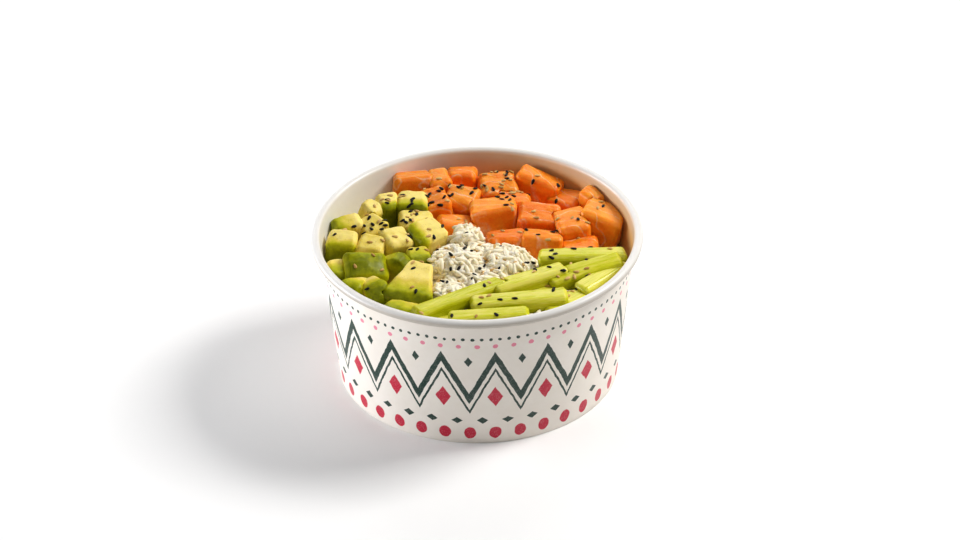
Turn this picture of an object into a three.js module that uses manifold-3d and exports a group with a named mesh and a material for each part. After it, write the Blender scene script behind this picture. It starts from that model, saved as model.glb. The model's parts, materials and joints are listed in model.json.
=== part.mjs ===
// Poke bowl: a paper bowl with a rolled rim and a recessed base, filled with rice and topped with salmon
// cubes, avocado chunks, cucumber sticks and sesame seeds.
// Millimetres, +Z up, +Y away from the diner, origin at the centre of the foot, on the table.
import * as THREE from "three";
import { ConvexGeometry } from "three/addons/geometries/ConvexGeometry.js";
import { mergeVertices } from "three/addons/utils/BufferGeometryUtils.js";
import Module from "manifold-3d";

const wasm = await Module();
wasm.setup();

// ---- driving dimensions ----------------------------------------------------------------------------------
const bowlHeight = 72;
const rimRadius = 75; // outside of the rolled rim
const footRadius = 64;
const rollRadius = 2; // the rim's paper roll
const paper = 0.6; // thickness of the coated paper
const fit = 0.3; // clearance between touching pieces
const baseTop = 6.6; // upper face of the recessed base disc
const roundSteps = 48; // facets round the bowl

const bedLevel = 50; // rice under the toppings
const grainSize = [2.5, 6.2, 2.2]; // width, length, thickness
const grainSpacing = 4.8;
const seedSize = [1.9, 3.1, 1.0];

const salmonShape = { bevel: 1.3, uneven: 0.13 };
const avocadoShape = { bevel: 1.6, uneven: 0.1 };
const cucumberShape = { bevel: 1.4, uneven: 0.08 };

// ---- small helpers ---------------------------------------------------------------------------------------
const rad = THREE.MathUtils.degToRad;
const up = new THREE.Vector3(0, 0, 1);

// Park-Miller random numbers from 0 to 1, the same on every run.
function randomFrom(seed) {
  let state = seed * 7919 + 12345;
  return () => {
    state = (state * 16807) % 2147483647;
    return state / 2147483647;
  };
}

// A closed geometry as a solid that can be cut and joined.
function solidOf(geometry) {
  const bare = new THREE.BufferGeometry().setAttribute("position", geometry.getAttribute("position"));
  bare.setIndex(geometry.index);
  const merged = mergeVertices(bare, 1e-4);
  return new wasm.Manifold(
    new wasm.Mesh({
      numProp: 3,
      vertProperties: new Float32Array(merged.getAttribute("position").array),
      triVerts: new Uint32Array(merged.index.array),
    }),
  );
}

// The largest piece of a solid: what a cut leaves loose is dropped.
function largestOf(solid) {
  const pieces = solid.decompose();
  return pieces.reduce((best, piece) => (piece.volume() > best.volume() ? piece : best), pieces[0]);
}

// A solid as a mesh whose geometry is centred on its own position.
function meshOf(solid, name, material) {
  const { vertProperties, triVerts } = solid.getMesh();
  const geometry = new THREE.BufferGeometry();
  geometry.setAttribute("position", new THREE.BufferAttribute(new Float32Array(vertProperties), 3));
  geometry.setIndex(new THREE.BufferAttribute(new Uint32Array(triVerts), 1));
  geometry.computeBoundingBox();
  const centre = geometry.boundingBox.getCenter(new THREE.Vector3()).round();
  geometry.translate(-centre.x, -centre.y, -centre.z);
  geometry.computeVertexNormals();
  const mesh = new THREE.Mesh(geometry, material);
  mesh.name = name;
  mesh.position.copy(centre);
  return mesh;
}

// A solid of revolution about Z from [radius, height] points, listed with the material on their left.
function turned(profile) {
  const points = profile.map(([r, z]) => new THREE.Vector2(r, z));
  return solidOf(new THREE.LatheGeometry(points, roundSteps).rotateX(Math.PI / 2));
}

const touches = (a, b) => a.intersect(b).volume() > 0;

// ---- the paper bowl --------------------------------------------------------------------------------------
const rollHeight = bowlHeight - rollRadius;
const wallTopRadius = rimRadius - 2 * rollRadius + paper;

// Outside radius of the tapering wall at a height.
const wallRadius = (z) => footRadius + ((wallTopRadius - footRadius) * z) / rollHeight;

// The side wall: rolled outwards at the rim, folded inwards and up at the foot, round the base's skirt.
function bowlWall() {
  const slot = paper + 2 * fit; // room for the skirt inside the fold
  const foldTop = baseTop - paper - fit;
  const roll = [];
  for (let turn = -135; turn <= 180; turn += 45)
    roll.push([
      rimRadius - rollRadius + rollRadius * Math.cos(rad(turn)),
      rollHeight + rollRadius * Math.sin(rad(turn)),
    ]);
  const fold = [
    [wallRadius(paper) - paper, paper],
    [wallRadius(paper) - paper - slot, paper],
    [wallRadius(foldTop) - paper - slot, foldTop],
    [wallRadius(foldTop) - 2 * paper - slot, foldTop],
    [footRadius - 2 * paper - slot, 0],
  ];
  const start = [footRadius, 0];
  return turned([start, ...roll, ...fold, start]);
}

// The base disc, with a skirt that stands in the wall's fold.
function bowlBase() {
  const skirt = (z) => wallRadius(z) - paper - fit;
  const skirtFoot = paper + fit;
  return turned([
    [0, baseTop - paper],
    [skirt(baseTop) - paper, baseTop - paper],
    [skirt(skirtFoot) - paper, skirtFoot],
    [skirt(skirtFoot), skirtFoot],
    [skirt(baseTop), baseTop],
    [0, baseTop],
  ]);
}

// The room inside the bowl that food may fill.
function bowlRoom() {
  const inside = (z) => wallRadius(z) - paper - fit;
  const above = bowlHeight + 20;
  return turned([
    [0, baseTop + fit],
    [inside(baseTop), baseTop + fit],
    [inside(rollHeight), rollHeight],
    [inside(rollHeight), above],
    [0, above],
  ]);
}

// ---- the rice --------------------------------------------------------------------------------------------
// Lumps of the heap: [x, y, radius, top]. The last, wide one carries the cucumber.
const riceLumps = [
  [-10, -9, 14, 65.5],
  [13, -8, 14, 64],
  [-5, 12, 9, 64.5],
  [-14, -31, 11, 61.5],
  [4, -24, 13, 62],
  [0, -10, 27, 61],
  [20, -42, 46, 57.5],
];

function riceHeight(x, y) {
  const heights = riceLumps.map(([lumpX, lumpY, radius, top]) => {
    const away = Math.hypot(x - lumpX, y - lumpY) / radius;
    return bedLevel + (top - bedLevel) * Math.exp(-(away ** 4));
  });
  return Math.max(...heights);
}

function riceNormal(x, y) {
  const step = 0.5;
  const slopeX = (riceHeight(x + step, y) - riceHeight(x - step, y)) / (2 * step);
  const slopeY = (riceHeight(x, y + step) - riceHeight(x, y - step)) / (2 * step);
  return new THREE.Vector3(-slopeX, -slopeY, 1).normalize();
}

// The bare heap, still wider than the bowl: flat rings whose upper face is lifted to the rice's height.
function riceHeap() {
  const rings = [rimRadius, 56, 45, 37, 30, 23, 16, 8];
  const spokes = 28;
  const points = [
    [0, 0],
    [rimRadius, 0],
    ...rings.map((r) => [r, bedLevel]),
    [0, bedLevel],
  ].map(([r, z]) => new THREE.Vector2(r, z));
  const geometry = new THREE.LatheGeometry(points, spokes).rotateX(Math.PI / 2);
  const position = geometry.getAttribute("position");
  for (let i = 0; i < position.count; i++)
    if (position.getZ(i) > bedLevel - 1) position.setZ(i, riceHeight(position.getX(i), position.getY(i)));
  return solidOf(geometry);
}

// An egg-shaped bit lying on a surface: its middle at a point, its thin side along the normal.
function bitOn({ point, normal, heading }, size, [around, along], grow = 0) {
  const lie = new THREE.Quaternion().setFromUnitVectors(up, normal);
  lie.multiply(new THREE.Quaternion().setFromAxisAngle(up, heading));
  const scale = new THREE.Vector3(...size).divideScalar(2).addScalar(grow);
  const place = new THREE.Matrix4().compose(point, lie, scale);
  return solidOf(new THREE.SphereGeometry(1, around, along).applyMatrix4(place));
}

// Grains in a sunflower spiral over the heap, wherever no topping is in their way.
function riceGrains(toppings) {
  const spiralX = 0;
  const spiralY = -9;
  const mostGrains = 76;
  const lowest = bedLevel + 7;
  const facets = [5, 3];
  const goldenAngle = Math.PI * (3 - Math.sqrt(5));
  const random = randomFrom(7);
  const grains = [];
  for (let i = 0; i < mostGrains; i++) {
    const away = grainSpacing * Math.sqrt((i + 0.5) / Math.PI);
    const x = spiralX + away * Math.cos(i * goldenAngle);
    const y = spiralY + away * Math.sin(i * goldenAngle);
    const lie = {
      point: new THREE.Vector3(x, y, riceHeight(x, y) + random() * 0.4),
      normal: riceNormal(x, y),
      heading: random() * Math.PI,
    };
    const reach = bitOn(lie, grainSize, facets, fit);
    if (lie.point.z < lowest || toppings.some((topping) => touches(reach, topping))) continue;
    grains.push(bitOn(lie, grainSize, facets));
  }
  return grains;
}

// ---- cut pieces ------------------------------------------------------------------------------------------
const cornerSides = Array.from({ length: 8 }, (_, i) => [i & 1, i & 2, i & 4].map((bit) => (bit ? 1 : -1)));
const domePoints = [
  [0, 0, 1],
  [0.5, 0.5, 0.6],
  [-0.5, 0.5, 0.6],
  [0.5, -0.5, 0.6],
  [-0.5, -0.5, 0.6],
]; // across, up, share of the dome's height

// A hand-cut block with bevelled edges and uneven corners.
// size: [x, y, z]; turn: degrees about X, Y and Z; uneven: how far corners stray, as a share of half a side;
// taper: share by which it narrows towards +Y; dome: mm that its -Y face bulges.
// A block that is grown, to cut its neighbours, keeps its sharp corners.
function cutPiece({ at, size, turn, seed, bevel, uneven, taper = 0, dome = 0 }, grow = 0) {
  const random = randomFrom(seed);
  const corners = cornerSides.map((sides) => sides.map((side) => side + (random() * 2 - 1) * uneven));
  for (const corner of corners) corner[0] *= 1 - (taper * (corner[1] + 1)) / 2;

  const half = size.map((side) => side / 2 + grow);
  const inset = half.map((h) => (grow ? 0 : bevel / h));
  const points = [];
  for (const sides of cornerSides)
    for (const face of grow ? [0] : [0, 1, 2])
      points.push(sides.map((side, axis) => (axis === face ? side : side * (1 - inset[axis]))));
  if (dome) for (const [x, z, share] of domePoints) points.push([x, -1 - (share * dome) / half[1], z]);

  const place = new THREE.Matrix4().makeRotationFromEuler(new THREE.Euler(...turn.map(rad), "ZYX"));
  place.setPosition(...at);
  const scale = new THREE.Vector3(...half);
  return solidOf(
    new ConvexGeometry(points.map((p) => blendCorners(corners, p).multiply(scale).applyMatrix4(place))),
  );
}

// A point of the even cube, moved as the eight uneven corners move.
function blendCorners(corners, point) {
  const moved = new THREE.Vector3();
  corners.forEach((corner, i) => {
    const weight = cornerSides[i].reduce((product, side, axis) => (product * (1 + side * point[axis])) / 2, 1);
    moved.addScaledVector(new THREE.Vector3(...corner), weight);
  });
  return moved;
}

// Cucumber sticks, cut across at both ends, upper ones first: [middle, size, turn].
const cucumberCuts = [
  [[-9, -42.5, 62], [48, 8, 8], [0, 2, 34]],
  [[18.5, -43, 61], [42, 9, 8], [4, 0, 7]],
  [[5, -57, 61.5], [36, 8, 8.5], [6, 0, 5]],
  [[22, -27, 61], [36, 9, 8.5], [0, 0, 26]],
  [[47, -8.5, 61], [40, 9, 8.5], [0, 2, 4]],
  [[47.5, -19, 60], [36, 10, 8.5], [8, -3, 22]],
  [[56, -23, 59], [30, 9, 8.5], [0, 0, 46]],
  [[43, -37, 57], [34, 9, 8], [0, 0, 36]],
  [[19, -35, 56], [42, 9, 8], [0, 0, 18]],
  [[-10, -54, 57], [34, 8, 8], [0, 0, 14]],
];

// Avocado from front to back, its skin side facing -Y before it is turned: [middle, size, turn, taper, dome].
const avocadoCuts = [
  [[-28.5, -26, 57.4], [23, 23, 16], [10, 3, -14], 0.55, 3.5],
  [[-51, -11, 57], [21, 15, 15], [-62, 8, 10], 0.2, 3],
  [[-45.8, -28.5, 57], [10, 17, 14], [-24, -8, 24], 0.2, 2.5],
  [[-54.5, -26, 56.5], [11, 13, 13], [-20, 0, -30], 0.2, 2],
  [[-63, -12, 56.5], [9, 12, 13], [10, 0, 10], 0.1, 0],
  [[-34, -45, 56], [17, 11, 12], [-10, 0, -20], 0.2, 2],
  [[-37, -8.5, 57], [10, 13, 14], [-30, 0, 70], 0.2, 2],
  [[-27, -2.5, 56.5], [12, 11, 13], [0, 6, 15], 0.2, 1.5],
  [[-23, 13, 58.3], [15, 14, 16], [-4, 8, -58], 0.1, 1.5],
  [[-37.5, 9.5, 57.5], [13, 13, 15], [6, 4, 24], 0.1, 0],
  [[-48, 5.5, 57], [13, 12, 15], [8, 6, -12], 0.1, 0],
  [[-61.5, 7.5, 58], [14, 12, 16], [10, 0, -8], 0.1, 0],
  [[-28, 26, 57.2], [16, 13, 14.5], [4, 6, 8], 0.1, 0],
  [[-47.5, 22, 57.5], [13, 13, 15], [6, -10, 30], 0.2, 0],
  [[-58.5, 21.5, 58.5], [11, 13, 16], [10, 10, -70], 0.1, 1.5],
  [[-29, 38.5, 58.8], [14, 13, 15.5], [8, -3, -6], 0.1, 0],
  [[-41, 38, 58.5], [11, 12, 16], [4, 6, 18], 0.1, 0],
  [[-49.5, 33, 58.5], [12, 10, 16], [16, 8, 50], 0.5, 0],
];

// Salmon from front to back: [middle, size, turn].
const salmonCuts = [
  [[13.5, 12.5, 56], [17, 10, 12], [-8, 0, 2]],
  [[30, 10.5, 56.3], [18, 11, 14], [-10, 3, -4]],
  [[47, 8, 54], [17, 11, 11], [0, -5, 8]],
  [[57, 26, 57.5], [20, 17, 17.5], [-6, 9, -20]],
  [[44, 21, 57], [14, 17, 16], [4, -8, 12]],
  [[28.5, 28.5, 57.3], [19, 15, 16], [6, 4, -6]],
  [[7.5, 33, 57.3], [20, 14, 15.5], [-5, -3, 5]],
  [[-18.5, 42, 57.3], [12, 16, 14.5], [6, -10, 16]],
  [[-7, 45, 57], [14, 14, 14.5], [10, 6, -14]],
  [[-10, 28, 54.5], [16, 11, 12], [-4, 8, 12]],
  [[17, 43.5, 56], [16, 10, 13], [8, 0, -8]],
  [[53, 40.5, 58.5], [11, 9, 16], [0, 10, -40]],
  [[29, 56, 57.8], [22, 11, 15.5], [-4, 12, -24]],
  [[43, 46, 54], [15, 12, 13], [8, -12, -38]],
  [[9.5, 55.5, 57.8], [17, 16, 15], [14, 3, 10]],
  [[-6.5, 61, 58.3], [13, 10, 16], [-6, 0, -3]],
  [[-17.5, 56, 59], [9, 14, 16.5], [0, 4, 12]],
  [[-29.5, 56, 59.5], [18, 11, 16.5], [-8, 0, 6]],
];

const numbered = (kind, i) => `${kind}_${String(i + 1).padStart(2, "0")}`;

// Every cut piece as {name, kind, cut}, in the order in which they keep their full shape.
function allCuts() {
  const cucumber = cucumberCuts.map(([at, size, turn], i) => ({ at, size, turn, seed: 300 + i, ...cucumberShape }));
  const avocado = avocadoCuts.map(([at, size, turn, taper, dome], i) => ({
    ...{ at, size, turn, taper, dome, seed: 200 + i },
    ...avocadoShape,
  }));
  const salmon = salmonCuts.map(([at, size, turn], i) => ({ at, size, turn, seed: 100 + i, ...salmonShape }));
  return Object.entries({ cucumber, avocado, salmon }).flatMap(([kind, cuts]) =>
    cuts.map((cut, i) => ({ name: numbered(kind, i), kind, cut })),
  );
}

// Each piece gives way to the rice, the wall and the pieces before it, as soft food that is pressed together.
function toppingSolids(heap, room) {
  const before = [heap.translate([0, 0, fit])];
  return allCuts().map(({ name, kind, cut }) => {
    const solid = before.reduce((rest, neighbour) => {
      return touches(rest, neighbour) ? rest.subtract(neighbour) : rest;
    }, cutPiece(cut).intersect(room));
    before.push(cutPiece(cut, fit));
    return { name, kind, solid: largestOf(solid) };
  });
}

// ---- sesame seeds ----------------------------------------------------------------------------------------
// Where the seeds fell: [x, y, spread, count].
const seedFalls = [
  [-32, 39, 6, 7],
  [-41, 17, 9, 10],
  [-23, 9, 8, 7],
  [-58, 15, 5, 4],
  [-40, -22, 12, 6],
  [6, -11, 10, 12],
  [-14, -28, 7, 7],
  [-12, 40, 9, 8],
  [10, 51, 7, 9],
  [19, 22, 10, 8],
  [48, 20, 12, 5],
  [37, -21, 8, 7],
  [57, -8, 6, 3],
  [-3, -46, 16, 6],
];

// Drops seeds on the food from above and fuses each to the piece that it lands on.
function sprinkle(foods) {
  const steepest = 0.5; // least upward share of a normal that holds a seed
  const facets = [5, 3];
  const random = randomFrom(11);
  const ray = new THREE.Raycaster();
  const targets = foods.map(({ name, solid }) => meshOf(solid, name));
  targets.forEach((target) => target.updateMatrixWorld(true));
  const seeds = new Map(foods.map(({ name }) => [name, []]));
  for (const [fallX, fallY, spread, count] of seedFalls)
    for (let i = 0; i < count; i++) {
      const angle = random() * 2 * Math.PI;
      const away = spread * Math.sqrt(-2 * Math.log(1 - 0.95 * random()));
      const heading = random() * Math.PI;
      const above = new THREE.Vector3(fallX + away * Math.cos(angle), fallY + away * Math.sin(angle), bowlHeight);
      ray.set(above, up.clone().negate());
      const [hit] = ray.intersectObjects(targets);
      if (!hit || hit.face.normal.z < steepest || hit.point.z < bedLevel + 6) continue;
      const lie = { point: hit.point, normal: hit.face.normal, heading };
      const reach = bitOn(lie, seedSize, facets, fit / 2);
      const others = foods.filter(({ name }) => name !== hit.object.name);
      if (others.some(({ solid }) => touches(reach, solid))) continue;
      seeds.get(hit.object.name).push(bitOn(lie, seedSize, facets));
    }
  return foods.map(({ name, kind, solid }) => {
    const landed = seeds.get(name);
    return { name, kind, solid: landed.length ? largestOf(wasm.Manifold.union([solid, ...landed])) : solid };
  });
}

// ---- the finished bowl -----------------------------------------------------------------------------------
const materials = {
  bowl: new THREE.MeshStandardMaterial({ color: 0xeceae4, roughness: 0.45, metalness: 0 }),
  rice: new THREE.MeshStandardMaterial({ color: 0xf0ebdd, roughness: 0.5, metalness: 0 }),
  salmon: new THREE.MeshStandardMaterial({ color: 0xf0803a, roughness: 0.3, metalness: 0 }),
  avocado: new THREE.MeshStandardMaterial({ color: 0xd3d06c, roughness: 0.45, metalness: 0 }),
  cucumber: new THREE.MeshStandardMaterial({ color: 0xcdd64e, roughness: 0.35, metalness: 0 }),
};

const heap = riceHeap();
const room = bowlRoom();
const toppings = toppingSolids(heap, room);
const grains = riceGrains(toppings.map(({ solid }) => solid));
const rice = { name: "rice", kind: "rice", solid: largestOf(wasm.Manifold.union([heap.intersect(room), ...grains])) };

const bowl = new THREE.Group();
bowl.add(meshOf(bowlWall(), "bowl_wall", materials.bowl));
bowl.add(meshOf(bowlBase(), "bowl_base", materials.bowl));

const food = new THREE.Group();
for (const { name, kind, solid } of sprinkle([rice, ...toppings])) food.add(meshOf(solid, name, materials[kind]));

const pokeBowl = new THREE.Group();
pokeBowl.add(bowl, food);

export default pokeBowl;
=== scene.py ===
import json
import math

import bmesh
import bpy
import numpy as np
from mathutils import Euler, Matrix, Vector
from mathutils.bvhtree import BVHTree

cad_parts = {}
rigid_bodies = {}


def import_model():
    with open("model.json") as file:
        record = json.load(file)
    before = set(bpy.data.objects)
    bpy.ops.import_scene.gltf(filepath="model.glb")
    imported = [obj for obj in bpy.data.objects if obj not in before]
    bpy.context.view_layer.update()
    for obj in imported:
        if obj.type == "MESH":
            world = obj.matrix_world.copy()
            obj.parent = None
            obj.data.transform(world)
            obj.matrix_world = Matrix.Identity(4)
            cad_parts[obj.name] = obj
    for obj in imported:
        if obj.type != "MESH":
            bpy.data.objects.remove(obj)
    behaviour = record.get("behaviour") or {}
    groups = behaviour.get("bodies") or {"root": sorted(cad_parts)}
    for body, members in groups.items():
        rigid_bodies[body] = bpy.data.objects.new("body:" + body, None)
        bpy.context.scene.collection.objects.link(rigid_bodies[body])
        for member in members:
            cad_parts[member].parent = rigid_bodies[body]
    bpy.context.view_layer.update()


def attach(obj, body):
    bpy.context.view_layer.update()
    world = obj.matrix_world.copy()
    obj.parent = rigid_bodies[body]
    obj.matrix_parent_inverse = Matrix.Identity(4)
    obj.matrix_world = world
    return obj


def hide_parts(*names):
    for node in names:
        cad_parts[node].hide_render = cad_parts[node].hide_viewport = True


# Poke bowl: a printed paper bowl of rice with salmon, avocado, cucumber and sesame.
# The tables are in millimetres and degrees, the meshes in metres.
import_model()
scene = bpy.context.scene
mm = 0.001
up = Vector((0, 0, 1))


# Park-Miller random numbers from 0 to 1.
def randomFrom(seed):
    state = seed * 7919 + 12345
    while True:
        state = state * 16807 % 2147483647
        yield state / 2147483647


def newObject(name, mesh):
    thing = bpy.data.objects.new(name, mesh)
    scene.collection.objects.link(thing)
    return thing


# Turns the modifiers of an object into its mesh.
def bake(thing):
    depsgraph = bpy.context.evaluated_depsgraph_get()
    mesh = bpy.data.meshes.new_from_object(thing.evaluated_get(depsgraph))
    old = thing.data
    thing.modifiers.clear()
    thing.data = mesh
    bpy.data.meshes.remove(old)
    mesh.name = thing.name
    return thing


def dropObject(thing):
    mesh = thing.data
    bpy.data.objects.remove(thing)
    bpy.data.meshes.remove(mesh)


# Hands a finished piece to the frame.
def place(piece, slot, *nodes):
    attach(piece, "root")
    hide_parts(*nodes)


# Writes a shell to a new mesh.
def meshFrom(shell, name):
    mesh = bpy.data.meshes.new(name)
    shell.to_mesh(mesh)
    shell.free()
    return mesh


# A closed solid of revolution from [radius, height] points, in the given number of steps.
def turned(name, section, steps):
    shell = bmesh.new()
    rings = []
    for i in range(steps):
        angle = 2 * math.pi * i / steps
        rings.append([
            shell.verts.new((r * math.cos(angle) * mm, r * math.sin(angle) * mm, z * mm))
            for r, z in section
        ])
    for i in range(steps):
        a, b = rings[i], rings[(i + 1) % steps]
        for k in range(len(section)):
            m = (k + 1) % len(section)
            if section[k][0] or section[m][0]:
                shell.faces.new((a[k], b[k], b[m], a[m])).smooth = True
    bmesh.ops.remove_doubles(shell, verts=shell.verts, dist=1e-7)
    bmesh.ops.recalc_face_normals(shell, faces=shell.faces)
    return newObject(name, meshFrom(shell, name))


def addModifier(thing, kind, **settings):
    modifier = thing.modifiers.new(kind.lower(), kind)
    for name, value in settings.items():
        setattr(modifier, name, value)


# Gives a mesh one closed skin and smooths it.
def soften(thing, voxel, rounds):
    addModifier(thing, "REMESH", mode="VOXEL", voxel_size=voxel * mm, use_smooth_shade=True)
    addModifier(thing, "SMOOTH", factor=0.5, iterations=rounds)


def setSockets(tree, node, sockets):
    for key, value in sockets.items():
        if isinstance(value, bpy.types.NodeSocket):
            tree.links.new(value, node.inputs[key])
        else:
            node.inputs[key].default_value = value


def addNode(tree, kind, sockets=None, **settings):
    node = tree.nodes.new(kind)
    for name, value in settings.items():
        setattr(node, name, value)
    setSockets(tree, node, sockets or {})
    return node


# A node group. An input is given by its start value, or by the kind of its socket where it has none.
def newTree(name, kind, inputs, output):
    tree = bpy.data.node_groups.new(name, kind)
    tree.interface.new_socket(output[0], in_out="OUTPUT", socket_type="NodeSocket" + output[1])
    for title, start in inputs.items():
        bare = isinstance(start, str)
        socketType = "NodeSocket" + (start if bare else "Float")
        socket = tree.interface.new_socket(title, in_out="INPUT", socket_type=socketType)
        if not bare:
            socket.default_value = start
    return tree, tree.nodes.new("NodeGroupInput").outputs, tree.nodes.new("NodeGroupOutput").inputs


def calc(tree, operation, a, b=0.0, clamp=False):
    return addNode(tree, "ShaderNodeMath", {0: a, 1: b}, operation=operation, use_clamp=clamp).outputs[0]


def plus(tree, a, b, clamp=False):
    return calc(tree, "ADD", a, b, clamp)


def minus(tree, a, b):
    return calc(tree, "SUBTRACT", a, b)


def times(tree, a, b, clamp=False):
    return calc(tree, "MULTIPLY", a, b, clamp)


def over(tree, a, b):
    return calc(tree, "DIVIDE", a, b)


def absolute(tree, a):
    return calc(tree, "ABSOLUTE", a)


# Sums with vectors. A length and a dot product come out as numbers.
def vectorCalc(tree, operation, a, b=(0, 0, 0), scale=1.0):
    sockets = {0: a, "Scale": scale} if operation == "SCALE" else {0: a, 1: b}
    outputs = addNode(tree, "ShaderNodeVectorMath", sockets, operation=operation).outputs
    return outputs["Value" if operation in ("LENGTH", "DOT_PRODUCT") else "Vector"]


def axesOf(tree, vector):
    return addNode(tree, "ShaderNodeSeparateXYZ", {0: vector}).outputs


def fade(tree, value, start, end, low=0.0, high=1.0):
    return addNode(tree, "ShaderNodeMapRange", {0: value, 1: start, 2: end, 3: low, 4: high}).outputs[0]


def mixNumber(tree, factor, a, b):
    return addNode(tree, "ShaderNodeMix", {0: factor, 2: a, 3: b}).outputs[0]


def mixColour(tree, factor, a, b, blend="MIX"):
    node = addNode(tree, "ShaderNodeMix", {0: factor, 6: a, 7: b}, data_type="RGBA", blend_type=blend)
    return node.outputs[2]


def noise(tree, spot, scale, detail=2.0, distortion=0.0):
    sockets = {"Vector": spot, "Scale": scale, "Detail": detail, "Distortion": distortion}
    return addNode(tree, "ShaderNodeTexNoise", sockets).outputs["Fac"]


# A colour written as on a paint card, in linear light.
def paint(card):
    parts = [int(card[i : i + 2], 16) / 255 for i in (0, 2, 4)]
    return (*[c / 12.92 if c <= 0.04045 else ((c + 0.055) / 1.055) ** 2.4 for c in parts], 1.0)


def colourRamp(tree, value, stops):
    node = addNode(tree, "ShaderNodeValToRGB", {0: value})
    elements = node.color_ramp.elements
    while len(elements) < len(stops):
        elements.new(0.5)
    for element, (position, card) in zip(elements, stops):
        element.position = position
        element.color = paint(card)
    return node.outputs["Color"]


# Adds a Geometry Nodes tree to an object and sets its inputs by name.
def addTree(thing, tree, values):
    modifier = thing.modifiers.new(tree.name, "NODES")
    modifier.node_group = tree
    found = {item.name: item.identifier for item in tree.interface.items_tree if item.in_out == "INPUT"}
    for name, value in values.items():
        modifier[found[name]] = value


def newMaterial(name):
    material = bpy.data.materials.new(name)
    material.use_nodes = True
    tree = material.node_tree
    return material, tree, tree.nodes["Principled BSDF"]


def attribute(tree, name):
    return addNode(tree, "ShaderNodeAttribute", attribute_name=name).outputs


# Object coordinates in millimetres.
def objectPlace(tree):
    coords = addNode(tree, "ShaderNodeTexCoord").outputs["Object"]
    return addNode(tree, "ShaderNodeMapping", {"Vector": coords, "Scale": (1000, 1000, 1000)}).outputs[0]


def bump(tree, height, strength, depth):
    sockets = {"Height": height, "Strength": strength, "Distance": depth * mm}
    return addNode(tree, "ShaderNodeBump", sockets).outputs[0]


def useGroup(tree, group, sockets):
    return addNode(tree, "ShaderNodeGroup", sockets, node_tree=group).outputs[0]


# Two sizes of soft blotches, from 0 to 1.
def makeBlotches():
    inputs = {"Place": "Vector", "Size": 6.0, "Fine Share": 0.4, "Contrast": 2.0}
    tree, given, result = newTree("blotches", "ShaderNodeTree", inputs, ("Mask", "Float"))
    scale = over(tree, 1.0, given["Size"])
    broad = noise(tree, given["Place"], scale, 2.0)
    fine = noise(tree, given["Place"], times(tree, scale, 5.0), 3.0)
    mixed = mixNumber(tree, given["Fine Share"], broad, fine)
    centred = times(tree, minus(tree, mixed, 0.5), given["Contrast"])
    tree.links.new(plus(tree, centred, 0.5, clamp=True), result["Mask"])
    return tree


# Fine relief of cut food: a grain with small pits.
def makeCutGrain():
    inputs = {"Place": "Vector", "Size": 1.0, "Pits": 0.3}
    tree, given, result = newTree("cutGrain", "ShaderNodeTree", inputs, ("Height", "Float"))
    scale = over(tree, 1.0, given["Size"])
    grain = noise(tree, given["Place"], scale, 4.0, 0.4)
    sockets = {"Vector": given["Place"], "Scale": times(tree, scale, 1.6)}
    cells = addNode(tree, "ShaderNodeTexVoronoi", sockets, feature="SMOOTH_F1").outputs["Distance"]
    pits = times(tree, cells, given["Pits"])
    tree.links.new(plus(tree, grain, pits), result["Height"])
    return tree


# A row of stretched diamonds, or of discs where Round is 1, that goes round the bowl.
def makePrintRow():
    inputs = {"Turn": 0.0, "Height": 0.0, "Number": 20.0, "Shift": 0.0, "Pitch": 20.0}
    inputs.update({"Middle": 30.0, "Half Wide": 3.0, "Half High": 4.0, "Round": 0.0})
    tree, given, result = newTree("printRow", "ShaderNodeTree", inputs, ("Mask", "Float"))
    turns = plus(tree, times(tree, given["Turn"], given["Number"]), given["Shift"])
    cell = minus(tree, calc(tree, "FRACT", turns), 0.5)
    across = absolute(tree, over(tree, times(tree, cell, given["Pitch"]), given["Half Wide"]))
    rise = minus(tree, given["Height"], given["Middle"])
    along = absolute(tree, over(tree, rise, given["Half High"]))
    diamond = plus(tree, across, along)
    squares = plus(tree, times(tree, across, across), times(tree, along, along))
    reach = mixNumber(tree, given["Round"], diamond, calc(tree, "SQRT", squares))
    tree.links.new(fade(tree, reach, 0.96, 1.04, 1.0, 0.0), result["Mask"])
    return tree


# A zigzag line round the bowl.
def makePrintZigzag():
    inputs = {"Turn": 0.0, "Height": 0.0, "Number": 20.0, "Low": 26.0, "Rise": 28.0, "Half Line": 3.0}
    tree, given, result = newTree("printZigzag", "ShaderNodeTree", inputs, ("Mask", "Float"))
    turns = calc(tree, "FRACT", times(tree, given["Turn"], given["Number"]))
    share = absolute(tree, minus(tree, times(tree, turns, 2.0), 1.0))
    line = plus(tree, given["Low"], times(tree, share, given["Rise"]))
    off = absolute(tree, minus(tree, given["Height"], line))
    reach = over(tree, off, given["Half Line"])
    tree.links.new(fade(tree, reach, 0.94, 1.06, 1.0, 0.0), result["Mask"])
    return tree


blotches = makeBlotches()
cutGrain = makeCutGrain()
printRow = makePrintRow()
printZigzag = makePrintZigzag()


def blotchy(tree, spot, broad, fineShare, contrast):
    values = {"Place": spot, "Size": broad, "Fine Share": fineShare, "Contrast": contrast}
    return useGroup(tree, blotches, values)


def cutRelief(tree, spot, grain, pits):
    return useGroup(tree, cutGrain, {"Place": spot, "Size": grain, "Pits": pits})


bowl = {
    "height": 72,
    "rimRadius": 75,
    "footRadius": 64,
    "rollRadius": 2,
    "rollStep": 12,  # degrees between points on the roll
    "paper": 0.6,
    "fold": 0.25,  # rounding of a fold
    "fit": 0.3,
    "steps": 192,
    "seamAt": 96,  # where the side's overlap starts, behind
    "seamWide": 8,
    "seamRamp": 0.2,
    "seamStep": 0.35,
    "baseTop": 6.6,
    "baseGroove": (49, 3, 0.5),  # radius, width and depth of the step that stiffens the disc
    "baseBend": (0.8, 0.6),  # bevel where the disc turns down, beneath and above
    "baseSteps": 128,
}
rollHeight = bowl["height"] - bowl["rollRadius"]
wallTopRadius = bowl["rimRadius"] - 2 * bowl["rollRadius"] + bowl["paper"]


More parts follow.
